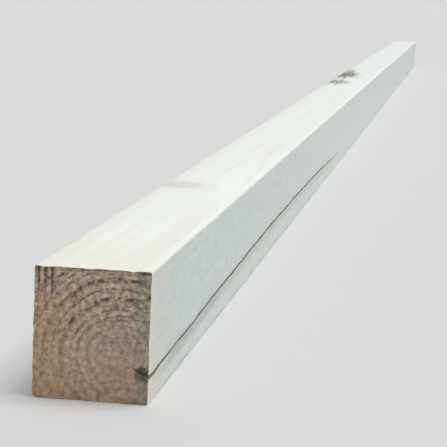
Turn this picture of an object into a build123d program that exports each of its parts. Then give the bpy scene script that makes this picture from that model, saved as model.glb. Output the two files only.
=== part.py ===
from build123d import *
from math import hypot, pi, sin
import os

# One length of rough-sawn softwood batten, cut square at both ends and left unplaned.
# It is a single piece of wood, so it is a single solid.
# Frame: length along X, width along Y, height along Z. The origin is the middle of the
# underside, and the batten lies flat on it.
# The seasoning check opens at the -X end and runs along the -Y side.
# All sizes are in millimetres.

# The stock as it leaves the saw
length = 3000
width = 46
height = 52

# Arrises straight off the saw, worn only by handling
arris_radius = 0.8

# The heart of the tree, which the growth rings circle, lies low in the section
heart_from_side = 12.9
heart_height = 17.7

# Seasoning check: as the wood dried it split open from the side nearest the heart.
# Its mouth follows the grain, which climbs to a crest and comes down again.
check_length = 950
check_mouth = 1.2
check_depth = 8
check_height = 10.6
check_climb = 5.4
check_crest = 470

# Where the check reaches the end its lips broke away, and it gapes for a short way
check_end_mouth = 2.4
check_gape_run = 25

# How far the cut that opens the check reaches past the surfaces it breaks
overcut = 1.0

# Distances from the end at which the check is sectioned
check_runs = (0, check_gape_run, 160, 310, 470, 600, 710, 800, 880)

# How suddenly the check closes: a high power keeps it open for most of its length
check_closing_power = 6

end_x = -length / 2
side_y = -width / 2
heart_y = side_y + heart_from_side


def mouth_height(run):
    """Height of the check's mouth above the underside, at a distance from the end."""
    return check_height + check_climb * sin(pi / 2 * run / check_crest)


def check_section(run):
    """V-shaped section of the check, at a distance from the end, pointing at the heart."""
    mouth_z = mouth_height(run)
    reach = hypot(heart_y - side_y, heart_height - mouth_z)
    inward = ((heart_y - side_y) / reach, (heart_height - mouth_z) / reach)
    across = (-inward[1], inward[0])

    # Past the gaping end the V keeps its proportions, and shrinks only in the last third
    opening = 1 - (run / check_length) ** check_closing_power
    depth = check_depth * opening
    clearance = overcut * opening
    gape = (check_end_mouth - check_mouth) * max(0, 1 - run / check_gape_run)
    half_gap = (check_mouth * opening + gape) / 2 * (1 + overcut / check_depth)

    def corner(along, sideways):
        y = side_y + along * inward[0] + sideways * across[0]
        z = mouth_z + along * inward[1] + sideways * across[1]
        return (y, z)

    # The first section stands clear of the end, so that the cut breaks through it
    plane_x = end_x + run if run > 0 else end_x - overcut
    with BuildSketch(Plane.YZ.offset(plane_x)) as section:
        with BuildLine():
            Polyline(
                corner(-clearance, half_gap),
                corner(depth, 0),
                corner(-clearance, -half_gap),
                close=True,
            )
        make_face()
    return section.sketch


check_sections = [check_section(run) for run in check_runs]
check_tip = Vertex(end_x + check_length, side_y, mouth_height(check_length))

with BuildPart() as timber_batten:
    # The sawn stock
    with BuildSketch(Plane.YZ.offset(end_x)):
        with Locations((0, height / 2)):
            Rectangle(width, height)
    extrude(amount=length)
    fillet(timber_batten.edges().filter_by(Axis.X), arris_radius)

    # The open run of the check, and then the last of it, closing to its tip
    loft(sections=check_sections, ruled=True, mode=Mode.SUBTRACT)
    loft(sections=[check_sections[-1], check_tip], ruled=True, mode=Mode.SUBTRACT)

timber_batten.part.label = "timber_batten"

os.makedirs("parts", exist_ok=True)
export_step(timber_batten.part, "parts/timber_batten.step")
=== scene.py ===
import math
from collections import namedtuple
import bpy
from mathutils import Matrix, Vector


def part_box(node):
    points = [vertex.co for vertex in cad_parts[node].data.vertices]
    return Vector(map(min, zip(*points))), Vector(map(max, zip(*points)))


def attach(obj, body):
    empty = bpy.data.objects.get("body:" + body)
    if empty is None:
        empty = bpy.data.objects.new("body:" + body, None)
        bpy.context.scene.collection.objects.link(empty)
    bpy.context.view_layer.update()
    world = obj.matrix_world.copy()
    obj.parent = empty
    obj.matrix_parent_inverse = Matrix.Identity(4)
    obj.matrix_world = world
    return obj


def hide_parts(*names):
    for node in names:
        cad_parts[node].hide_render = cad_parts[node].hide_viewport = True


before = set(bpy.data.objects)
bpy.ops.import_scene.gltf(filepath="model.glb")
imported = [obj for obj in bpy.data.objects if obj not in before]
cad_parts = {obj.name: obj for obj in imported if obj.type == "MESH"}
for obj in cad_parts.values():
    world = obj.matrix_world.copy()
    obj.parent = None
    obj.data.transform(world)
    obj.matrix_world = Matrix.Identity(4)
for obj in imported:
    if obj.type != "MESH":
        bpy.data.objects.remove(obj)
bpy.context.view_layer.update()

from types import SimpleNamespace

import bpy
import numpy as np
from mathutils import Euler, Vector
from mathutils.geometry import delaunay_2d_cdt

# The looks of one length of rough-sawn spruce batten, lying on a pale floor.
# Row frame: length along X, width along Y, height along Z. The batten is worked out in
# millimetres and turned to metres when its mesh is made; the room round it is in metres.
# The near end is the one at -X. The checked side faces -Y and the plain side faces +Y.

MM = 0.001

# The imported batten's box, read from the frame
box_low, box_high = (np.array(corner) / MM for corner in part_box("timber_batten"))
LENGTH, WIDTH, HEIGHT = (float(size) for size in box_high - box_low)
GIRTH = 2 * (WIDTH + HEIGHT)
NEAR_X = float(box_low[0])
SIDE_Y = WIDTH / 2

# The heart of the tree, low in the section and nearer the checked side, where part.py has it
HEART_FROM_SIDE = 12.9
HEART_Y = HEART_FROM_SIDE - SIDE_Y
HEART_Z = 17.7

# The seasoning check, as part.py cuts it
CHECK_LENGTH = 950
CHECK_MOUTH = 1.2
CHECK_DEPTH = 8
CHECK_HEIGHT = 10.6
CHECK_CLIMB = 5.4
CHECK_CREST = 470
CHECK_CLOSING_POWER = 6
CHECK_END_MOUTH = 2.4
CHECK_GAPE_RUN = 25

# Arrises straight off the saw: nearly sharp, with chips torn out of them here and there
ARRIS_RADIUS = 0.7
ARRIS_LIMITS = (0.25, 2.4)
CHIP_SPACING = 70
CHIP_REACH = (4, 26)
CHIP_DEPTH = (0.3, 1.5)

# How the mesh is divided: sections close together by the ends, and fine rows by the arrises
END_SPACING = 1.5
SPACING_GROWTH = 0.015
ROW_SPACING = 1.3
ARRIS_ROWS = (0, 0.25, 0.6, 1.0, 1.5, 2.2, 3.1)
WALL_ROWS = (0, 0.12, 0.3, 0.55, 0.8)

# The grid that closes each end: how far apart its points are, how far each is shaken out of
# line, how far in from the faces they stop, how clear of the rim they stay, and how far they
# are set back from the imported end
GRID_SPACING = 1.2
GRID_SHAKE = 0.3
GRID_MARGIN = 1.6
GRID_CLEARANCE = 0.75
GRID_SET_BACK = 0.08

# Faces that meet more sharply than this, in degrees, keep a crease between them
CREASE = 38

# The texture map, which is 1 wide and 1 high. The length is folded into strips, one above
# another, with the walls of the check over the girth in each; the two ends lie above them all.
# The girth and what is said of the walls are in millimetres, and the rest is shares of the map
MAP_STRIPS = 3
MAP_STRIPS_HEIGHT = 0.78
MAP_EDGE = 0.002
MAP_FILL = 0.985
MAP_WALL_GAP = 1
MAP_WALL_STEP = 2
MAP_WALL_ROOM = 24
MAP_GIRTH = GIRTH + MAP_WALL_ROOM
MAP_END_EDGE = 0.01
MAP_END_SIZE = 0.22
MAP_FAR_END = 0.25

# The three finishes, in the order in which the batten takes its materials
SAWN, CROSS_CUT, SPLIT = range(3)

# One year's growth, and how much thinner the trunk gets in a metre
RING_WIDTH = 3.4
TRUNK_TAPER = 4.5

# Knots. run: distance from the near end. way: where the branch grew to out of the heart, in
# degrees from straight up towards the plain side. long, wide: its size on the sawn face.
# shows: how plain it is. bark: how much bark is round it, 1 where the branch was dead.
# trail: how far from its middle the dark streaks in the grain run on
Knot = namedtuple("Knot", "run way long wide shows bark trail")
KNOTS = (
    Knot(run=275, way=36, long=34, wide=28, shows=0.20, bark=0.2, trail=26),
    Knot(run=1335, way=33, long=46, wide=22, shows=0.46, bark=0.8, trail=70),
    Knot(run=1506, way=39.5, long=100, wide=27, shows=0.70, bark=0.9, trail=170),
    Knot(run=2120, way=96, long=34, wide=22, shows=0.70, bark=0.4, trail=50),
    Knot(run=820, way=176, long=26, wide=18, shows=0.60, bark=0.3, trail=30),
    Knot(run=2590, way=-150, long=24, wide=15, shows=0.60, bark=0.7, trail=40),
)

# How far along the batten a branch leans for each millimetre that it grows outwards
BRANCH_LEAN = 0.35

# The refractive index of wood, and the setting for a change that starts and stops softly
SPRUCE_IOR = 1.53
EASED = {"interpolation_type": "SMOOTHSTEP"}


def wander(along, pitch, seed):
    """A smooth random curve from -1 to 1 that turns about every pitch millimetres."""
    table = np.random.default_rng(seed).uniform(-1, 1, int(LENGTH / pitch) + 4)
    place = np.asarray(along) / pitch + 1
    cell = np.floor(place).astype(int)
    part = place - cell
    part = part * part * (3 - 2 * part)
    return table[cell] * (1 - part) + table[cell + 1] * part


def rough(along, across, pitch_along, pitch_across, girth, seed):
    """A smooth random sheet from 0 to 1, which repeats every girth millimetres across."""
    columns = max(3, round(girth / pitch_across))
    table = np.random.default_rng(seed).random((int(LENGTH / pitch_along) + 4, columns))
    u = np.asarray(along) / pitch_along + 1
    v = np.asarray(across) / girth * columns
    i, j = np.floor(u).astype(int), np.floor(v).astype(int)
    s, t = u - i, v - j
    s, t = s * s * (3 - 2 * s), t * t * (3 - 2 * t)
    j, k = j % columns, (j + 1) % columns
    here = table[i, j] * (1 - t) + table[i, k] * t
    there = table[i + 1, j] * (1 - t) + table[i + 1, k] * t
    return here * (1 - s) + there * s


def station_runs():
    """Distances from the near end at which the batten is sectioned."""
    runs = [0.0]
    while runs[-1] < LENGTH / 2:
        runs.append(runs[-1] + END_SPACING + SPACING_GROWTH * runs[-1])
    half = np.array(runs) * (LENGTH / 2 / runs[-1])
    return np.concatenate([half, LENGTH - half[-2::-1]])


def rows_between(low, high):
    """Where the rows between low and high lie, as shares of the way, without the two ends."""
    return np.linspace(0, 1, max(2, round((high - low) / ROW_SPACING) + 1))[1:-1]


def chipped_arrises(run):
    """The radius of each of the four arrises, at each distance from the near end."""
    radii = []
    for corner in range(4):
        radius = ARRIS_RADIUS + 0.25 * wander(run, 31, seed=10 + corner)
        radius = radius + 0.15 * wander(run, 7, seed=20 + corner)
        dice = np.random.default_rng(30 + corner)
        place = 0.0
        while place < LENGTH:
            place += dice.exponential(CHIP_SPACING)
            reach = dice.uniform(*CHIP_REACH)
            deep = dice.uniform(*CHIP_DEPTH)
            near = np.clip(1 - ((run - place) / reach) ** 2, 0, None)
            radius = np.maximum(radius, deep * near**0.7 + 0.2)
        radii.append(np.clip(radius, *ARRIS_LIMITS))
    return np.stack(radii)


def check_mouth(run):
    """The check along the batten: how open it is, the height of its mouth, and half its gap."""
    inside = np.clip(run, 0, CHECK_LENGTH)
    opening = 1 - (inside / CHECK_LENGTH) ** CHECK_CLOSING_POWER

    # The mouth follows the grain and is ragged by a few tenths of a millimetre
    height = CHECK_HEIGHT + CHECK_CLIMB * np.sin(np.pi / 2 * inside / CHECK_CREST)
    height = height + opening * (0.2 * wander(run, 13, seed=1) + 0.3 * wander(run, 47, seed=2))
    gape = (CHECK_END_MOUTH - CHECK_MOUTH) * np.clip(1 - run / CHECK_GAPE_RUN, 0, 1)
    half_gap = (CHECK_MOUTH * opening + gape) / 2 * (1 + 0.25 * wander(run, 17, seed=3))
    return opening[:, None], height[:, None], half_gap[:, None]


def check_walls(opening, mouth, half_gap):
    """The walls of the check, from the lower lip in to the root and out to the upper lip."""
    inward_y, inward_z = HEART_FROM_SIDE, HEART_Z - mouth
    reach = np.hypot(inward_y, inward_z)
    inward_y, inward_z = inward_y / reach, inward_z / reach
    shares = np.array(WALL_ROWS + (1,) + WALL_ROWS[::-1])
    ways = np.array([-1] * len(WALL_ROWS) + [0] + [1] * len(WALL_ROWS))
    deep = CHECK_DEPTH * opening * shares

    # The crack is a little crooked, like the fibres that it ran between
    crook = 0.3 * np.sin(shares * 9) * shares * opening
    aside = ways * half_gap * (1 - shares) + crook
    wall_y = -SIDE_Y + deep * inward_y - aside * inward_z * (shares > 0)
    wall_z = mouth + deep * inward_z + aside * inward_y
    return wall_y, wall_z


def draw_in_arrises(y, z, normal_y, normal_z, radius, wall):
    """Draws each sharp corner of the sections in to an arc, and turns its normals to match."""
    centre_y = np.sign(y) * (SIDE_Y - radius)
    centre_z = np.where(z > HEIGHT / 2, HEIGHT - radius, radius)
    out_y, out_z = y - centre_y, z - centre_z
    rounded = (out_y * np.sign(y) > 0) & (out_z * np.sign(z - HEIGHT / 2) > 0) & ~wall
    size = np.hypot(out_y, out_z)
    size = np.where(size > 0, size, 1)
    y = np.where(rounded, centre_y + radius * out_y / size, y)
    z = np.where(rounded, centre_z + radius * out_z / size, z)
    normal_y = np.where(rounded, out_y / size, normal_y)
    normal_z = np.where(rounded, out_z / size, normal_z)
    return y, z, normal_y, normal_z


def taken_off(run, girth):
    """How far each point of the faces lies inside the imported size, which none of them passes."""
    wave = 0.18 * rough(run, girth, 90, 26, GIRTH, seed=40)
    ripple = 0.07 * rough(run, girth, 17, 11, GIRTH, seed=41)

    # By the ends the ridges of the saw's teeth can be felt, a little out of square
    from_end = np.minimum(run, LENGTH - run)
    ridge = 0.5 + 0.5 * wander(np.clip(run + 0.1 * girth, 0, LENGTH), 4.5, seed=42)
    ridge = 0.07 * ridge * np.clip(1 - from_end / 120, 0, 1)

    # Fibres torn out round the two ends by the cross-cut
    torn = rough(run, girth, 400, 2.7, GIRTH, seed=43) ** 4
    torn = torn + 0.12 * rough(run, girth, 400, 9, GIRTH, seed=44) ** 2
    return wave + ripple + ridge + 0.4 * torn * np.exp(-from_end / 1.2)


def batten_sections():
    """Every section of the batten, as one loop of points each, and what each point belongs to."""
    run = station_runs()
    count = len(run)
    opening, mouth, half_gap = check_mouth(run)
    wall_y, wall_z = check_walls(opening, mouth, half_gap)

    # Rows up the checked side stop at the lips of the check, where its walls begin
    low = np.array(ARRIS_ROWS)
    below = rows_between(low[-1], CHECK_HEIGHT)
    above = rows_between(CHECK_HEIGHT, HEIGHT - low[-1])
    lower, upper = mouth - half_gap, mouth + half_gap
    under = np.concatenate([np.tile(low, (count, 1)), low[-1] + below * (lower - low[-1])], 1)
    over = np.concatenate([upper + above * (HEIGHT - low[-1] - upper),
                           np.tile(HEIGHT - low[::-1], (count, 1))], 1)
    middle = low[-1] + rows_between(low[-1], WIDTH - low[-1]) * (WIDTH - 2 * low[-1])
    across = np.tile(np.concatenate([low, middle, WIDTH - low[::-1]]), (count, 1)) - SIDE_Y

    def strip(y, z, normal, corners, wall=False):
        """One run of rows round the section, with the arrises that its two halves are nearest."""
        y, z = np.broadcast_arrays(y, z)
        half_way = y.shape[1] / 2
        nearest = [corners[0] if k < half_way else corners[1] for k in range(y.shape[1])]
        return SimpleNamespace(y=y, z=z, normal=normal, nearest=nearest, wall=wall)

    # The checked side, the top, the plain side and the underside, in turn
    strips = [
        strip(-SIDE_Y, under, (-1, 0), (0, 0)),
        strip(wall_y, wall_z, (-1, 0), (0, 0), wall=True),
        strip(-SIDE_Y, over[:, :-1], (-1, 0), (1, 1)),
        strip(across[:, :-1], HEIGHT, (0, 1), (1, 2)),
        strip(SIDE_Y, over[:, ::-1], (1, 0), (2, 2)),
        strip(SIDE_Y, mouth, (1, 0), (3, 3)),
        strip(SIDE_Y, under[:, :0:-1], (1, 0), (3, 3)),
        strip(-across[:, :-1], 0, (0, -1), (3, 0)),
    ]
    y = np.concatenate([s.y for s in strips], 1)
    z = np.concatenate([s.z for s in strips], 1)
    normal_y = np.concatenate([np.full(s.y.shape, float(s.normal[0])) for s in strips], 1)
    normal_z = np.concatenate([np.full(s.y.shape, float(s.normal[1])) for s in strips], 1)
    nearest = np.concatenate([s.nearest for s in strips])
    wall = np.concatenate([np.full(s.y.shape[1], s.wall) for s in strips])

    # How far round the batten each row is, from the lower arris of the checked side
    girth = np.where(normal_y < 0, z, np.where(normal_z > 0, HEIGHT + y + SIDE_Y, np.where(
        normal_y > 0, 2 * HEIGHT + WIDTH - z, 2 * HEIGHT + 2 * WIDTH - y - SIDE_Y)))
    girth = np.where(wall, mouth, girth)

    radius = chipped_arrises(run)[nearest].T
    y, z, normal_y, normal_z = draw_in_arrises(y, z, normal_y, normal_z, radius, wall)
    column = run[:, None]
    taken = taken_off(column, girth)
    y = y - normal_y * taken
    z = z - normal_z * taken
    x = NEAR_X + column + 0 * y
    set_back = 0.05 + 0.5 * rough(column, girth, 400, 3.4, GIRTH, seed=45) ** 2
    x[0] += set_back[0]
    x[-1] -= set_back[-1]
    return SimpleNamespace(x=x, y=y, z=z, girth=girth, wall=wall, run=run)


def shared_vertices(sections):
    """The vertices of the sections, and which of them each point of each section uses."""
    first_wall = int(np.argmax(sections.wall))
    points = np.stack([sections.x, sections.y, sections.z], 2)
    index = np.zeros(points.shape[:2], int)
    vertices = []
    for i, j in np.ndindex(index.shape):
        # Past the tip of the check its walls are one line, so their rows share a vertex
        closed = sections.wall[j] and sections.run[i] >= CHECK_LENGTH
        if closed and j > first_wall:
            index[i, j] = index[i, first_wall]
        else:
            index[i, j] = len(vertices)
            vertices.append(points[i, j])
    return vertices, index


def add_long_faces(shell, sections, index):
    """Adds the four sawn faces and the walls of the check, from one section to the next."""
    count, rows = index.shape
    run, wall = sections.run, sections.wall
    first_wall = int(np.argmax(wall))

    def map_place(i, j, k, in_check, strip):
        """Where a corner of the face between rows j and k lies on the texture map."""
        if in_check:
            girth = GIRTH + MAP_WALL_GAP + (k - first_wall) * MAP_WALL_STEP
        elif k == 0 and j == rows - 1:
            girth = GIRTH
        else:
            girth = sections.girth[i, k]
        u = (run[i] / LENGTH * MAP_STRIPS - strip) * (1 - 2 * MAP_EDGE) + MAP_EDGE
        v = (strip + girth / MAP_GIRTH * MAP_FILL) / MAP_STRIPS * MAP_STRIPS_HEIGHT
        return u, v

    for i in range(count - 1):
        strip = min(MAP_STRIPS - 1, int((run[i] + run[i + 1]) / 2 / LENGTH * MAP_STRIPS))
        for j in range(rows):
            k = (j + 1) % rows
            in_check = wall[j] and wall[k]
            kept = {}
            for corner in ((i, j), (i + 1, j), (i + 1, k), (i, k)):
                kept.setdefault(index[corner], corner)
            if len(kept) < 3:
                continue
            shell.faces.append(list(kept))
            shell.finishes.append(SPLIT if in_check else SAWN)
            shell.places += [map_place(a, j, b, in_check, strip) for a, b in kept.values()]


def end_grid(rim_points):
    """Points a little out of line with one another, to fill an end inside the points of its rim."""
    rim = np.array(rim_points)
    grid = []
    for y in np.arange(-SIDE_Y, SIDE_Y, GRID_SPACING):
        for z in np.arange(0, HEIGHT, GRID_SPACING):
            shaken_y = y + GRID_SHAKE * math.sin(z * 7.3 + y)
            shaken_z = z + GRID_SHAKE * math.sin(y * 6.1 + z)
            inside = abs(shaken_y) < SIDE_Y - GRID_MARGIN
            inside = inside and GRID_MARGIN < shaken_z < HEIGHT - GRID_MARGIN
            clear = np.hypot(*(rim - (shaken_y, shaken_z)).T).min() > GRID_CLEARANCE
            if inside and clear:
                grid.append(Vector((shaken_y, shaken_z)))
    return grid


def add_end(shell, end, loop):
    """Closes one end, -1 for the near one or 1 for the far one, inside its loop of vertices."""
    rim = list(dict.fromkeys(loop))
    rim_points = [Vector(shell.vertices[vertex][1:]) for vertex in rim]
    fill_inside, smallest_gap = 1, 1e-6
    made, _, cells, came_from, _, _ = delaunay_2d_cdt(
        rim_points + end_grid(rim_points), [], [list(range(len(rim)))], fill_inside, smallest_gap)
    vertex_of = {}
    for number, sources in enumerate(came_from):
        if sources and sources[0] < len(rim):
            vertex_of[number] = rim[sources[0]]
            continue
        # The cross-cut left shallow dents
        y, z = made[number]
        dent = 0.3 * rough(0, z, 50, 8, 60, seed=50 + end) * rough(0, y + 30, 50, 9, 60, seed=53)
        vertex_of[number] = len(shell.vertices)
        shell.vertices.append(np.array([end * (LENGTH / 2 - GRID_SET_BACK - dent), y, z]))

    left = MAP_END_EDGE if end < 0 else MAP_FAR_END
    low = MAP_STRIPS_HEIGHT + MAP_END_EDGE
    for cell in cells:
        turned = list(cell) if end > 0 else list(cell)[::-1]
        shell.faces.append([vertex_of[number] for number in turned])
        shell.finishes.append(CROSS_CUT)
        for number in turned:
            y, z = made[number]
            u = left + (y + SIDE_Y) / HEIGHT * MAP_END_SIZE
            v = low + z / HEIGHT * (1 - MAP_END_EDGE - low)
            shell.places.append((u, v))


def batten_mesh():
    """The batten as one closed mesh with three finishes: sawn faces, end grain and split wood."""
    sections = batten_sections()
    vertices, index = shared_vertices(sections)
    shell = SimpleNamespace(vertices=vertices, faces=[], finishes=[], places=[])
    add_long_faces(shell, sections, index)
    add_end(shell, -1, index[0])
    add_end(shell, 1, index[-1])

    mesh = bpy.data.meshes.new("sawn_batten")
    mesh.from_pydata([tuple(vertex * MM) for vertex in shell.vertices], [], shell.faces)
    mesh.polygons.foreach_set("material_index", shell.finishes)
    layer = mesh.uv_layers.new(name="OFBake")
    layer.uv.foreach_set("vector", np.array(shell.places, np.float32).ravel())
    mesh.shade_smooth()
    mesh.set_sharp_from_angle(angle=math.radians(CREASE))
    mesh.validate()
    return mesh


def linear(value):
    """A colour written as an sRGB hex value, as the linear colour that a socket takes."""
    parts = [int(value[i:i + 2], 16) / 255 for i in (1, 3, 5)]
    parts = [p / 12.92 if p <= 0.04045 else ((p + 0.055) / 1.055) ** 2.4 for p in parts]
    return (*parts, 1)


def add(tree, kind, *values, **named):
    """Adds a node. Values go to its sockets in order and a capitalised name is a socket too;
    other names are the node's own settings. A node given as a value stands for its output."""
    node = tree.nodes.new("ShaderNode" + kind)
    for name, value in named.items():
        if name[0].islower():
            setattr(node, name, value)
    sockets = [socket for socket in node.inputs if socket.enabled]
    by_name = {socket.name: socket for socket in reversed(sockets)}
    given = list(zip(sockets, values))
    given += [(by_name[name.replace("_", " ")], value) for name, value in named.items()
              if name[0].isupper()]
    for socket, value in given:
        if isinstance(value, bpy.types.Node):
            value = next(output for output in value.outputs if output.enabled)
        if isinstance(value, bpy.types.NodeSocket):
            tree.links.new(value, socket)
        else:
            socket.default_value = value
    return node


def place_in_mm(tree):
    """The place of each point of the batten, in millimetres of its own frame."""
    place = add(tree, "TexCoord").outputs["Object"]
    return add(tree, "VectorMath", place, operation="SCALE", Scale=1 / MM)


def drawn_out(tree, place, long, wide, **settings):
    """Uneven patches drawn out along the grain, each about so many millimetres long and wide."""
    patches = add(tree, "VectorMath", place, (1 / long, 1 / wide, 1 / wide), operation="MULTIPLY")
    return add(tree, "TexNoise", patches, Scale=1, **settings)


def branch_reach(side, up):
    """How far the sawn face is from the heart, along a branch that grew this way."""
    reaches = []
    if abs(side) > 1e-6:
        reaches.append(((SIDE_Y if side > 0 else -SIDE_Y) - HEART_Y) / side)
    if abs(up) > 1e-6:
        reaches.append(((HEIGHT if up > 0 else 0) - HEART_Z) / up)
    return min(reaches)


def branch(tree, place, edge, knot):
    """How near each point is to a branch: about 1 at the branch's edge, and less inside it. The
    streaks that trail from it are measured in the same way."""
    way = math.radians(knot.way)
    side, up = math.sin(way), math.cos(way)
    reach = branch_reach(side, up)
    off = add(tree, "VectorMath", place, (NEAR_X + knot.run, HEART_Y, HEART_Z),
              operation="SUBTRACT")
    outward = add(tree, "VectorMath", off, (0, side, up), operation="DOT_PRODUCT")
    along = add(tree, "VectorMath", off, (1, -BRANCH_LEAN * side, -BRANCH_LEAN * up),
                operation="DOT_PRODUCT")
    along = add(tree, "Math", along, 2 / knot.long, 2 / knot.long * BRANCH_LEAN * reach,
                operation="MULTIPLY_ADD")
    sideways = add(tree, "VectorMath", off, (0, 2 / knot.wide * up, -2 / knot.wide * side),
                   operation="DOT_PRODUCT")
    bearing = add(tree, "Math", sideways, along, operation="ARCTAN2")
    distance = add(tree, "VectorMath", add(tree, "CombineXYZ", along, sideways, 0),
                   operation="LENGTH")

    # The branch is a cone that swells outwards, and nothing of it shows behind the heart
    behind = add(tree, "MapRange", outward, 2, 0, 0, 20)
    outward = add(tree, "Math", outward, reach / 60, operation="MAXIMUM")
    swell = add(tree, "Math", reach, outward, operation="DIVIDE")
    distance = add(tree, "Math", distance, swell, behind, operation="MULTIPLY_ADD")
    distance = add(tree, "Math", edge, 0.5, distance, operation="MULTIPLY_ADD")

    # The streaks run on along the grain, and spread a little wider than the branch
    run_on = add(tree, "Math", along, knot.long / 2 / knot.trail, operation="MULTIPLY")
    spread = add(tree, "Math", sideways, 0.75, operation="MULTIPLY")
    trailing = add(tree, "VectorMath", add(tree, "CombineXYZ", run_on, spread, 0),
                   operation="LENGTH")
    trailing = add(tree, "Math", trailing, swell, behind, operation="MULTIPLY_ADD")
    return SimpleNamespace(distance=distance, bearing=bearing, trailing=trailing,
                           shows=knot.shows, bark=knot.bark)


def grown_wood(tree):
    """What grew at each point: its place in millimetres, its ring, and how near each knot is."""
    place = place_in_mm(tree)
    x, y, z = add(tree, "SeparateXYZ", place).outputs

    # The heart sways a millimetre or two along the trunk
    sway = add(tree, "TexNoise", noise_dimensions="1D", Scale=1, Detail=1,
               W=add(tree, "Math", x, 1 / 650, operation="MULTIPLY"))
    sway = add(tree, "VectorMath", sway.outputs["Color"], (0, 5, 5), (0, -2.5, -2.5),
               operation="MULTIPLY_ADD")
    heart = add(tree, "VectorMath", sway, (0, HEART_Y, HEART_Z), operation="ADD")
    out = add(tree, "VectorMath", place, heart, operation="SUBTRACT")
    out = add(tree, "VectorMath", out, (0, 1, 1), operation="MULTIPLY")
    from_heart = add(tree, "VectorMath", out, operation="LENGTH")

    # No ring is a true circle, and all of them shrink as the trunk tapers
    uneven = drawn_out(tree, place, 260, 20, Detail=1)
    radius = add(tree, "Math", uneven, 3.2, from_heart, operation="MULTIPLY_ADD")
    crinkle = drawn_out(tree, place, 45, 2.2, Detail=2)
    radius = add(tree, "Math", crinkle, 0.8, radius, operation="MULTIPLY_ADD")
    radius = add(tree, "Math", x, TRUNK_TAPER / 1000, radius, operation="MULTIPLY_ADD")

    # Rings are carried outwards round each branch, which has an uneven edge
    edge = add(tree, "TexNoise", place, Scale=1 / 5, Detail=2)
    knots = [branch(tree, place, edge, knot) for knot in KNOTS]
    for knot in knots:
        push = add(tree, "MapRange", knot.distance, 0.9, 3.0, 1.5 + 3 * knot.shows, 0, **EASED)
        radius = add(tree, "Math", radius, push, operation="ADD")

    # Rings are counted from 40, so that none is negative, and some years are leaner than others
    ring = add(tree, "Math", radius, 1 / RING_WIDTH, 40, operation="MULTIPLY_ADD")
    lean_years = add(tree, "TexNoise", noise_dimensions="1D", Scale=1, Detail=0,
                     W=add(tree, "Math", ring, 0.55, operation="MULTIPLY"))
    ring = add(tree, "Math", lean_years, 0.9, ring, operation="MULTIPLY_ADD")
    grown = add(tree, "Math", ring, operation="FRACT")

    # Each year's wood darkens slowly to its late wood and stops short
    late = add(tree, "MapRange", grown, 0.38, 0.88, 0, 1, **EASED)
    stop = add(tree, "MapRange", grown, 0.9, 1.0, 1, 0, **EASED)
    late = add(tree, "Math", late, stop, operation="MULTIPLY")
    return SimpleNamespace(place=place, x=x, y=y, z=z, from_heart=from_heart, late=late,
                           knots=knots)


def knotted(tree, wood, colour, height):
    """Lays the knots into a sawn face: tight rings, and a rim of bark where the branch was dead."""
    grain = drawn_out(tree, wood.place, 75, 2.4, Detail=2)
    grain = add(tree, "MapRange", grain, 0.42, 0.55, 0, 1, **EASED)
    for knot in wood.knots:
        # Dark streaks trail from a dead branch, in the grain, and the wood round it is stained
        trail = add(tree, "MapRange", knot.trailing, 1.1, 0.5, 0, 1.2 * knot.shows * knot.bark,
                    **EASED)
        trail = add(tree, "Math", trail, grain, operation="MULTIPLY")
        colour = add(tree, "Mix", trail, colour, linear("#6b655b"), data_type="RGBA")
        halo = knot.shows * (0.2 + 0.4 * knot.bark)
        halo = add(tree, "MapRange", knot.distance, 2.8, 1.2, 0, halo, **EASED)
        colour = add(tree, "Mix", halo, colour, linear("#b5b0a2"), data_type="RGBA")

        # The branch's own rings, about four to the radius
        turns = add(tree, "Math", knot.distance, 24, operation="MULTIPLY")
        turns = add(tree, "Math", turns, operation="SINE")
        turns = add(tree, "MapRange", turns, -1, 1, 0, 1)
        core = add(tree, "Mix", turns, linear("#989083"), linear("#635c52"), data_type="RGBA")

        # Drying splits run out from the pith, and bark is round the edge
        split = add(tree, "Math", knot.bearing, 1.9, operation="MULTIPLY")
        split = add(tree, "TexNoise", add(tree, "CombineXYZ", split, knot.distance, 0), Scale=1.6,
                    Detail=1)
        split = add(tree, "MapRange", split, 0.46, 0.38, 0, knot.bark)
        core = add(tree, "Mix", split, core, linear("#241d18"), data_type="RGBA")
        rim = add(tree, "MapRange", knot.distance, 0.80, 1.1, 0, knot.bark, **EASED)
        core = add(tree, "Mix", rim, core, linear("#29221c"), data_type="RGBA")

        # A live branch fades into the wood round it; a dead one stops at its bark, which sinks
        inside = add(tree, "MapRange", knot.distance, 1.34, 0.7 + 0.4 * knot.bark, 0, knot.shows,
                     **EASED)
        colour = add(tree, "Mix", inside, colour, core, data_type="RGBA")
        dip = add(tree, "Math", inside, rim, operation="MULTIPLY")
        height = add(tree, "Math", dip, -0.3, height, operation="MULTIPLY_ADD")
    return colour, height


def finish_tree(name, ior):
    """A new material, its node tree and its Principled shader."""
    material = bpy.data.materials.new(name)
    material.use_nodes = True
    shader = material.node_tree.nodes["Principled BSDF"]
    shader.inputs["IOR"].default_value = ior
    return material, material.node_tree, shader


def give_finish(tree, shader, colour, roughness, height):
    """Gives the shader a mixed colour, a roughness, and a relief whose height is in millimetres."""
    bump = add(tree, "Bump", Strength=1, Distance=MM, Height=height)
    tree.links.new(colour.outputs[2], shader.inputs["Base Color"])
    tree.links.new(roughness.outputs[0], shader.inputs["Roughness"])
    tree.links.new(bump.outputs[0], shader.inputs["Normal"])


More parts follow.
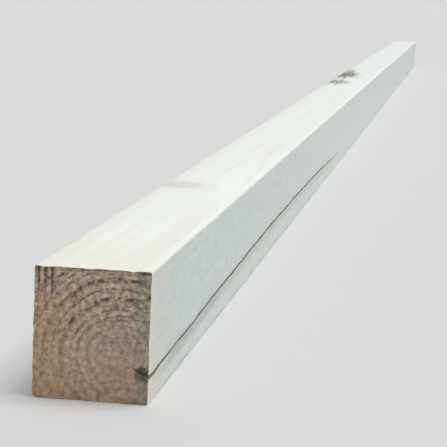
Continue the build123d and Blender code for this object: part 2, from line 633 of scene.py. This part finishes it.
def saw_ridges(tree, wood, cloud):
    """The ridges of the saw's teeth, from -0.5 to 0.5, pressed flat here and there."""
    # They come every three or four millimetres, a little out of square
    tooth_pitch = 3.4
    stroke = add(tree, "VectorMath", wood.place, (1, 0.11, 0.09), operation="DOT_PRODUCT")
    stroke = add(tree, "Math", cloud, 9, stroke, operation="MULTIPLY_ADD")
    ridge = add(tree, "TexNoise", noise_dimensions="1D", Scale=1, Detail=1,
                W=add(tree, "Math", stroke, 1 / tooth_pitch, operation="MULTIPLY"))
    ridge = add(tree, "Math", ridge, -0.5, operation="ADD")
    pressed = drawn_out(tree, wood.place, 34, 19, Detail=1)
    pressed = add(tree, "MapRange", pressed, 0.35, 0.65, 0.1, 1, **EASED)
    return add(tree, "Math", ridge, pressed, operation="MULTIPLY")


def on_checked_side(tree, wood):
    """1 on the checked side and 0 elsewhere, with a soft change over the arris."""
    return add(tree, "MapRange", wood.y, -SIDE_Y + 1.4, -SIDE_Y + 0.2, 0, 1, **EASED)


def weathered_and_skylit(tree, wood, colour):
    """Greys the checked side, which has stood out in the weather, and tints it as painted cool
    skylight:
    most of all by the near end, less so below the check, and unevenly, as rain ran down it."""
    sheltered = add(tree, "MapRange", wood.z, 16, 10, 1, 0.8, **EASED)
    mottled = drawn_out(tree, wood.place, 16, 4.5, Detail=2)
    mottled = add(tree, "MapRange", mottled, 0.3, 0.7, 0.65, 1.35)
    by_end = add(tree, "MapRange", wood.x, NEAR_X + 50, NEAR_X + 900, 0.66, 0.36)
    grey_and_skylight = on_checked_side(tree, wood)
    for share in (sheltered, mottled, by_end):
        grey_and_skylight = add(tree, "Math", grey_and_skylight, share, operation="MULTIPLY")
    # Weathered grey mixed with painted cool skylight on the checked side
    return add(tree, "Mix", grey_and_skylight, colour, linear("#d2dfdc"), data_type="RGBA")


def painted_check_shade(tree, wood, fibre, colour):
    """Painted shade: a soft grey band round the mouth of the check and just below, where its lips
    turn in.
    """
    # The band climbs as the mouth does, and its middle lies 2 mm lower
    drop = 2
    turn = math.pi / 2 / CHECK_CREST
    climb = add(tree, "Math", wood.x, turn, -turn * NEAR_X, operation="MULTIPLY_ADD")
    climb = add(tree, "Math", climb, operation="SINE")
    from_band = add(tree, "Math", climb, -CHECK_CLIMB, wood.z, operation="MULTIPLY_ADD")
    from_band = add(tree, "Math", from_band, CHECK_HEIGHT - drop, operation="SUBTRACT")
    from_band = add(tree, "Math", from_band, operation="ABSOLUTE")
    check_shade = add(tree, "MapRange", from_band, 5.4, 1.0, 0, 1, **EASED)

    # It is thickest a hand's width in from the end, and gone by the tip of the check
    tip_x = NEAR_X + CHECK_LENGTH
    shares = (
        add(tree, "MapRange", wood.x, NEAR_X, NEAR_X + 55, 0.2, 1),
        add(tree, "MapRange", wood.x, NEAR_X + 90, NEAR_X + 240, 0.32, 0.16),
        add(tree, "MapRange", wood.x, tip_x - 150, tip_x, 1, 0),
        add(tree, "MapRange", fibre, 0.3, 0.7, 0.6, 1.4),
        on_checked_side(tree, wood),
    )
    for share in shares:
        check_shade = add(tree, "Math", check_shade, share, operation="MULTIPLY")
    # Painted shade along the mouth of the check
    return add(tree, "Mix", check_shade, colour, linear("#6d6e68"), data_type="RGBA")


def dried(tree, wood, colour):
    """Warms the checked side by the end, where rain dries fastest, most of all below the check."""
    drier = add(tree, "MapRange", wood.x, NEAR_X + 38, NEAR_X, 0, 0.62)
    below = add(tree, "MapRange", wood.z, 14, 8, 1, 1.4)
    for share in (below, on_checked_side(tree, wood)):
        drier = add(tree, "Math", drier, share, operation="MULTIPLY")
    return add(tree, "Mix", drier, colour, linear("#ede2d2"), data_type="RGBA")


def arris_highlight_and_grey_edge(tree, wood, colour):
    """Paints a highlight on the arris over the check, and greys the other edge of the top."""
    on_top = add(tree, "MapRange", wood.z, HEIGHT - 1.6, HEIGHT - 0.6, 0, 1)
    arris_highlight = add(tree, "MapRange", wood.y, -SIDE_Y + 5, -SIDE_Y + 1.5, 0, 0.6, **EASED)
    arris_highlight = add(tree, "Math", arris_highlight, on_top, operation="MULTIPLY")
    # Painted highlight where the arris over the check meets the light
    colour = add(tree, "Mix", arris_highlight, colour, linear("#fbfbf5"), data_type="RGBA")
    dull = add(tree, "MapRange", wood.y, SIDE_Y - 11, SIDE_Y - 1, 0, 0.3, **EASED)
    dull = add(tree, "Math", dull, on_top, operation="MULTIPLY")
    return add(tree, "Mix", dull, colour, linear("#dcdacb"), data_type="RGBA")


def sawn_spruce():
    """Rough-sawn spruce, cut along the grain and left unplaned. The saw leaves it matt and woolly:
    almost white, with faint lines of late wood, fine fibres along it and saw marks across it."""
    material, tree, shader = finish_tree("rough_sawn_spruce", SPRUCE_IOR)
    wood = grown_wood(tree)

    # Fibres are a few hundredths of a millimetre thick; they are drawn 0.7 mm thick, to show
    fibre = drawn_out(tree, wood.place, 40, 0.7, Detail=3, Roughness=0.6)
    streak = drawn_out(tree, wood.place, 380, 3.2, Detail=2)
    cloud = drawn_out(tree, wood.place, 150, 28, Detail=2)
    ridge = saw_ridges(tree, wood, cloud)

    # Wool raised by the saw hides the rings here and bares them there
    woolly = add(tree, "MapRange", cloud, 0.38, 0.62, 0.22, 0.06, **EASED)
    late = add(tree, "Math", wood.late, woolly, operation="MULTIPLY")
    colour = add(tree, "Mix", late, linear("#f3f6ef"), linear("#ddd6c4"), data_type="RGBA")
    shade = add(tree, "Math", fibre, 0.13, 0.89, operation="MULTIPLY_ADD")
    shade = add(tree, "Math", streak, 0.07, shade, operation="MULTIPLY_ADD")
    shade = add(tree, "Math", ridge, 0.07, shade, operation="MULTIPLY_ADD")
    colour = add(tree, "VectorMath", colour, operation="SCALE", Scale=shade)
    cool = add(tree, "MapRange", cloud, 0.35, 0.7, 0, 0.4, **EASED)
    colour = add(tree, "Mix", cool, colour, linear("#ecefe6"), data_type="RGBA")

    # Yellower for the last few centimetres, where the end has dried fastest
    warm = add(tree, "MapRange", wood.x, NEAR_X + 100, NEAR_X + 30, 0, 0.55, **EASED)
    colour = add(tree, "Mix", warm, colour, linear("#f0ebe0"), data_type="RGBA")
    colour = weathered_and_skylit(tree, wood, colour)
    colour = painted_check_shade(tree, wood, fibre, colour)
    colour = dried(tree, wood, colour)

    # Every face is a little cooler towards the far end
    cooled = add(tree, "MapRange", wood.x, NEAR_X + 300, NEAR_X + LENGTH - 200, 0, 0.42)
    colour = add(tree, "Mix", cooled, colour, linear("#dce5ea"), data_type="RGBA")
    colour = arris_highlight_and_grey_edge(tree, wood, colour)

    # The cross-cut broke the skin round both ends, where paler wood shows
    from_middle = add(tree, "Math", wood.x, operation="ABSOLUTE")
    fresh = add(tree, "Math", fibre, 9, from_middle, operation="MULTIPLY_ADD")
    fresh = add(tree, "MapRange", fresh, LENGTH / 2 - 1, LENGTH / 2 + 4, 0, 0.7, **EASED)
    colour = add(tree, "Mix", fresh, colour, linear("#f3eee6"), data_type="RGBA")

    height = add(tree, "Math", fibre, 0.16, operation="MULTIPLY")
    height = add(tree, "Math", ridge, 0.16, height, operation="MULTIPLY_ADD")
    height = add(tree, "Math", wood.late, 0.03, height, operation="MULTIPLY_ADD")
    colour, height = knotted(tree, wood, colour, height)
    roughness = add(tree, "Math", fibre, 0.22, 0.68, operation="MULTIPLY_ADD")
    give_finish(tree, shader, colour, roughness, height)
    return material


def saw_bite(tree, wood, cut):
    """The upper corner of the near end, by the plain side, where the saw first bit, and the
    upright strokes that it left there. There is room for three of them."""
    stroke_spacing = 2.6
    first_stroke = SIDE_Y - 1.9
    corner = add(tree, "MapRange", wood.y, SIDE_Y - 9, SIDE_Y - 7, 0, 1, **EASED)
    down = add(tree, "Math", cut.uneven, 8, wood.z, operation="MULTIPLY_ADD")
    down = add(tree, "MapRange", down, HEIGHT - 14, HEIGHT - 10, 0, 1, **EASED)
    for share in (down, cut.at_near_end):
        corner = add(tree, "Math", corner, share, operation="MULTIPLY")

    turn = 2 * math.pi / stroke_spacing
    bite = add(tree, "Math", wood.y, turn, -turn * first_stroke, operation="MULTIPLY_ADD")
    bite = add(tree, "Math", bite, operation="COSINE")
    bite = add(tree, "MapRange", bite, -0.2, 0.7, 0, 1)
    worn = add(tree, "MapRange", cut.dab, 0.36, 0.6, 0.55, 1)
    deeper = add(tree, "MapRange", wood.z, HEIGHT - 10, HEIGHT - 1, 0.8, 1.4)
    for share in (corner, worn, deeper):
        bite = add(tree, "Math", bite, share, operation="MULTIPLY")
    return corner, bite


def end_stains_and_shade(tree, wood, cut, colour):
    """What has soaked into an end, what has settled on it, and painted shade at the check's mouth.
    """
    # Browner low down
    low = add(tree, "Math", cut.uneven, 16, wood.z, operation="MULTIPLY_ADD")
    low = add(tree, "MapRange", low, 16, 4, 0, 0.55, **EASED)
    colour = add(tree, "Mix", low, colour, linear("#b18b72"), data_type="RGBA")

    # Tan towards the plain side, but not where the saw bit
    tan = add(tree, "Math", cut.uneven, 20, wood.y, operation="MULTIPLY_ADD")
    tan = add(tree, "MapRange", tan, SIDE_Y - 20, SIDE_Y - 8, 0, 0.5, **EASED)
    tan_below = add(tree, "MapRange", wood.z, HEIGHT - 9, HEIGHT - 15, 0, 1, **EASED)
    tan = add(tree, "Math", tan, tan_below, operation="MULTIPLY")
    colour = add(tree, "Mix", tan, colour, linear("#b89b72"), data_type="RGBA")

    # By the checked side, a green film of algae high up, and darker grey low down
    by_side = add(tree, "Math", cut.uneven, 9, wood.y, operation="MULTIPLY_ADD")
    by_side = add(tree, "Math", cut.dab, 4, by_side, operation="MULTIPLY_ADD")
    algae = add(tree, "MapRange", by_side, -SIDE_Y + 9.5, -SIDE_Y + 5.5, 0, 0.48, **EASED)
    high_up = add(tree, "MapRange", wood.z, 24, 31, 0.1, 1)
    algae = add(tree, "Math", algae, high_up, operation="MULTIPLY")
    colour = add(tree, "Mix", algae, colour, linear("#9a9f8a"), data_type="RGBA")
    grey_low_by_side = add(tree, "MapRange", by_side, -SIDE_Y + 8.5, -SIDE_Y + 5, 0, 0.62, **EASED)
    low_down = add(tree, "MapRange", wood.z, 18, 11, 0.12, 1, **EASED)
    grey_low_by_side = add(tree, "Math", grey_low_by_side, low_down, operation="MULTIPLY")
    colour = add(tree, "Mix", grey_low_by_side, colour, linear("#828270"), data_type="RGBA")

    # Dust on the broken lips of the check at the near end, darkened further as painted shade of the
    # nick
    lips = add(tree, "VectorMath", wood.place, (0, -SIDE_Y + 1.5, CHECK_HEIGHT + 1.4),
               operation="SUBTRACT")
    lips = add(tree, "VectorMath", lips, (0, 1 / 5, 1 / 3.4), operation="MULTIPLY")
    lips = add(tree, "VectorMath", lips, operation="LENGTH")
    lips = add(tree, "Math", cut.dab, 1.2, lips, operation="MULTIPLY_ADD")
    lips = add(tree, "MapRange", lips, 1.7, 1.0, 0, 0.9, **EASED)
    lips = add(tree, "Math", lips, cut.at_near_end, operation="MULTIPLY")
    return add(tree, "Mix", lips, colour, linear("#4d463a"), data_type="RGBA")


def saw_scores(tree, wood, cut, bite):
    """How deeply the saw scored an end: short dabs about two millimetres apart, clearest high up
    by the checked side, with the first bite and a dark line along the top edge."""
    stroke = add(tree, "VectorMath", wood.place, (0, 0.05, 1), operation="DOT_PRODUCT")
    stroke = add(tree, "Math", cut.uneven, 3, stroke, operation="MULTIPLY_ADD")
    stroke = add(tree, "TexNoise", noise_dimensions="1D", Scale=1, Detail=2,
                 W=add(tree, "Math", stroke, 1 / 1.4, operation="MULTIPLY"))
    across = add(tree, "MapRange", stroke, 0.52, 0.32, 0, 1)
    by_side = add(tree, "MapRange", wood.y, 4, -10, 0.3, 1, **EASED)
    high_up = add(tree, "MapRange", wood.z, 18, 30, 0.3, 1, **EASED)
    for share in (by_side, high_up, cut.broken):
        across = add(tree, "Math", across, share, operation="MULTIPLY")

    scored = add(tree, "Math", across, 0.7, bite, operation="MULTIPLY_ADD")
    # A thin dark, slightly sunken line along the top edge
    dark_top_rim = add(tree, "Math", cut.dab, 4, wood.z, operation="MULTIPLY_ADD")
    dark_top_rim = add(tree, "MapRange", dark_top_rim, HEIGHT - 0.4, HEIGHT + 1.6, 0, 0.4, **EASED)
    scored = add(tree, "Math", scored, dark_top_rim, operation="ADD")
    return add(tree, "Math", scored, 0.8, operation="MULTIPLY", use_clamp=True)


def end_grain():
    """Spruce end grain, cross-cut with a coarse saw. The cut fibres drink the light, so it is
    darker and browner than the faces, with the rings as arcs, crossed by the saw's strokes."""
    material, tree, shader = finish_tree("cross_cut_end_grain", SPRUCE_IOR)
    wood = grown_wood(tree)

    # What the coarse saw does to the fibres: specks, and dabs longer across than they are high
    speck = add(tree, "TexNoise", wood.place, Scale=1 / 0.8, Detail=2, Roughness=0.6)
    dab = add(tree, "VectorMath", wood.place, (1, 1 / 2.3, 1 / 1.7), operation="MULTIPLY")
    dab = add(tree, "TexNoise", dab, Scale=1, Detail=2, Roughness=0.5)
    cloud = add(tree, "TexNoise", wood.place, Scale=1 / 13, Detail=2)
    cut = SimpleNamespace(
        dab=dab,
        uneven=add(tree, "Math", cloud, 0.5, operation="SUBTRACT"),
        broken=add(tree, "MapRange", dab, 0.43, 0.53, 0.1, 1, **EASED),
        at_near_end=add(tree, "Math", wood.x, 0, operation="LESS_THAN"),
    )
    corner, bite = saw_bite(tree, wood, cut)

    # Rings are plainest in the upper part; the saw's drag breaks them into dabs, and round the
    # heart and where it bit they are all but lost
    coarse = add(tree, "MapRange", wood.from_heart, 8, 18, 0.1, 1)
    not_bitten = add(tree, "MapRange", corner, 0, 1, 1, 0.3)
    higher = add(tree, "MapRange", wood.z, 12, 30, 0.5, 1)
    late = add(tree, "Math", wood.late, 1.3, operation="POWER")
    for share in (coarse, cut.broken, not_bitten, higher):
        late = add(tree, "Math", late, share, operation="MULTIPLY")
    colour = add(tree, "Mix", late, linear("#c7ad97"), linear("#634f40"), data_type="RGBA")
    colour = end_stains_and_shade(tree, wood, cut, colour)
    scored = saw_scores(tree, wood, cut, bite)
    colour = add(tree, "Mix", scored, colour, linear("#5d4c3e"), data_type="RGBA")

    # Pits, specks and dabs shade it unevenly, more so high up, and round the heart it is duller
    pitted = add(tree, "TexNoise", wood.place, Scale=1 / 2.1, Detail=1)
    pitted = add(tree, "Math", pitted, 0.5, operation="SUBTRACT")
    pitted = add(tree, "Math", pitted, add(tree, "MapRange", wood.z, 20, 38, 1.1, 1.9),
                 operation="MULTIPLY")
    shade = add(tree, "Math", speck, 0.7, 0.28, operation="MULTIPLY_ADD")
    shade = add(tree, "Math", dab, 0.7, shade, operation="MULTIPLY_ADD")
    shade = add(tree, "Math", pitted, shade, operation="ADD")
    shade = add(tree, "Math", shade, add(tree, "MapRange", wood.from_heart, 8, 17, 0.86, 1),
                operation="MULTIPLY")
    colour = add(tree, "VectorMath", colour, operation="SCALE", Scale=shade)
    torn = add(tree, "MapRange", dab, 0.42, 0.24, 0, 0.5, **EASED)
    torn = add(tree, "Math", torn, coarse, operation="MULTIPLY")
    colour = add(tree, "Mix", torn, colour, linear("#5d4a3b"), data_type="RGBA")

    height = add(tree, "Math", late, 0.10, operation="MULTIPLY")
    height = add(tree, "Math", speck, 0.22, height, operation="MULTIPLY_ADD")
    height = add(tree, "Math", scored, -0.25, height, operation="MULTIPLY_ADD")
    height = add(tree, "Math", torn, -0.3, height, operation="MULTIPLY_ADD")
    roughness = add(tree, "Math", speck, 0.15, 0.78, operation="MULTIPLY_ADD")
    give_finish(tree, shader, colour, roughness, height)
    return material


def split_spruce():
    """The walls of the seasoning check: spruce pulled apart along its fibres, never sawn, stringy
    and darkened both by dust settled in the crack and by painted shade inside it."""
    material, tree, shader = finish_tree("split_spruce", SPRUCE_IOR)
    place = place_in_mm(tree)
    x = add(tree, "SeparateXYZ", place).outputs["X"]
    string = drawn_out(tree, place, 30, 0.8, Detail=3)
    # The dark of the walls is partly dust and partly painted shade
    colour = add(tree, "Mix", string, linear("#6f6a60"), linear("#989184"), data_type="RGBA")

    # Where it gapes at the end the walls are paler: less dust, and less painted shade, as light
    # reaches in
    gaping = add(tree, "MapRange", x, NEAR_X + CHECK_GAPE_RUN, NEAR_X, 0, 1, **EASED)
    colour = add(tree, "Mix", gaping, colour, linear("#9a927f"), data_type="RGBA")
    roughness = add(tree, "Math", string, 0.2, 0.75, operation="MULTIPLY_ADD")
    height = add(tree, "Math", string, 0.3, operation="MULTIPLY")
    give_finish(tree, shader, colour, roughness, height)
    return material


def sawn_batten():
    """The batten itself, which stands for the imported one."""
    batten = bpy.data.objects.new("sawn_batten", batten_mesh())
    bpy.context.scene.collection.objects.link(batten)
    for material in (sawn_spruce(), end_grain(), split_spruce()):
        batten.data.materials.append(material)
    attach(batten, "root")
    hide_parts("timber_batten")


def pale_floor():
    """A wide painted floor, far enough out that no view finds its edge."""
    reach = 400
    corners = [(-reach, -reach, 0), (reach, -reach, 0), (reach, reach, 0), (-reach, reach, 0)]
    mesh = bpy.data.meshes.new("pale_floor")
    mesh.from_pydata(corners, [], [(0, 1, 2, 3)])
    floor = bpy.data.objects.new("pale_floor", mesh)
    bpy.context.scene.collection.objects.link(floor)
    material, _, shader = finish_tree("pale_floor_paint", 1.5)
    shader.inputs["Base Color"].default_value = linear("#dadad8")
    shader.inputs["Roughness"].default_value = 0.9
    mesh.materials.append(material)


def studio_light():
    """Soft, even light for three metres of timber: a wide lamp high on the checked side, and a
    pale room round it."""
    lamp = bpy.data.lights.new("soft_key", "SUN")
    lamp.energy = 1.75
    lamp.angle = math.radians(35)
    key = bpy.data.objects.new("soft_key", lamp)
    shines_from = Vector((0.05, -0.29, 1.0))
    key.rotation_euler = shines_from.to_track_quat("Z", "Y").to_euler()
    bpy.context.scene.collection.objects.link(key)

    # The camera, gloss and glass see a room as pale as the floor; the light from it is dimmer
    world = bpy.data.worlds.new("pale_room")
    bpy.context.scene.world = world
    world.use_nodes = True
    tree = world.node_tree
    tree.nodes.clear()
    rays = add(tree, "LightPath")
    seen = add(tree, "Math", rays.outputs["Is Camera Ray"], rays.outputs["Is Glossy Ray"],
               operation="MAXIMUM")
    seen = add(tree, "Math", seen, rays.outputs["Is Transmission Ray"], operation="MAXIMUM")
    lit = add(tree, "Background", linear("#fafcff"), 0.46)
    shown = add(tree, "Background", linear("#dadad8"), 1.0)
    add(tree, "OutputWorld", add(tree, "MixShader", seen, lit, shown))


def photo_camera():
    """The photograph's own viewpoint, with a longer lens so that the batten fills the picture."""
    stands_at = Vector((-2.1079, -0.1363, 0.1613))
    looks_at = Vector((-1.1695, -0.0022, 0.0238))
    tilt = math.radians(2.26)
    lens = bpy.data.cameras.new("photo_camera")
    lens.lens = 133.4
    lens.sensor_width = 36
    lens.clip_start = 0.01
    lens.clip_end = 1000
    camera = bpy.data.objects.new("photo_camera", lens)
    camera.location = stands_at
    level = (looks_at - stands_at).to_track_quat("-Z", "Y").to_matrix()
    camera.rotation_euler = (level @ Euler((0, 0, tilt)).to_matrix()).to_euler()
    bpy.context.scene.collection.objects.link(camera)
    bpy.context.scene.camera = camera


bpy.context.scene.view_settings.view_transform = "Standard"
sawn_batten()
pale_floor()
studio_light()
photo_camera()
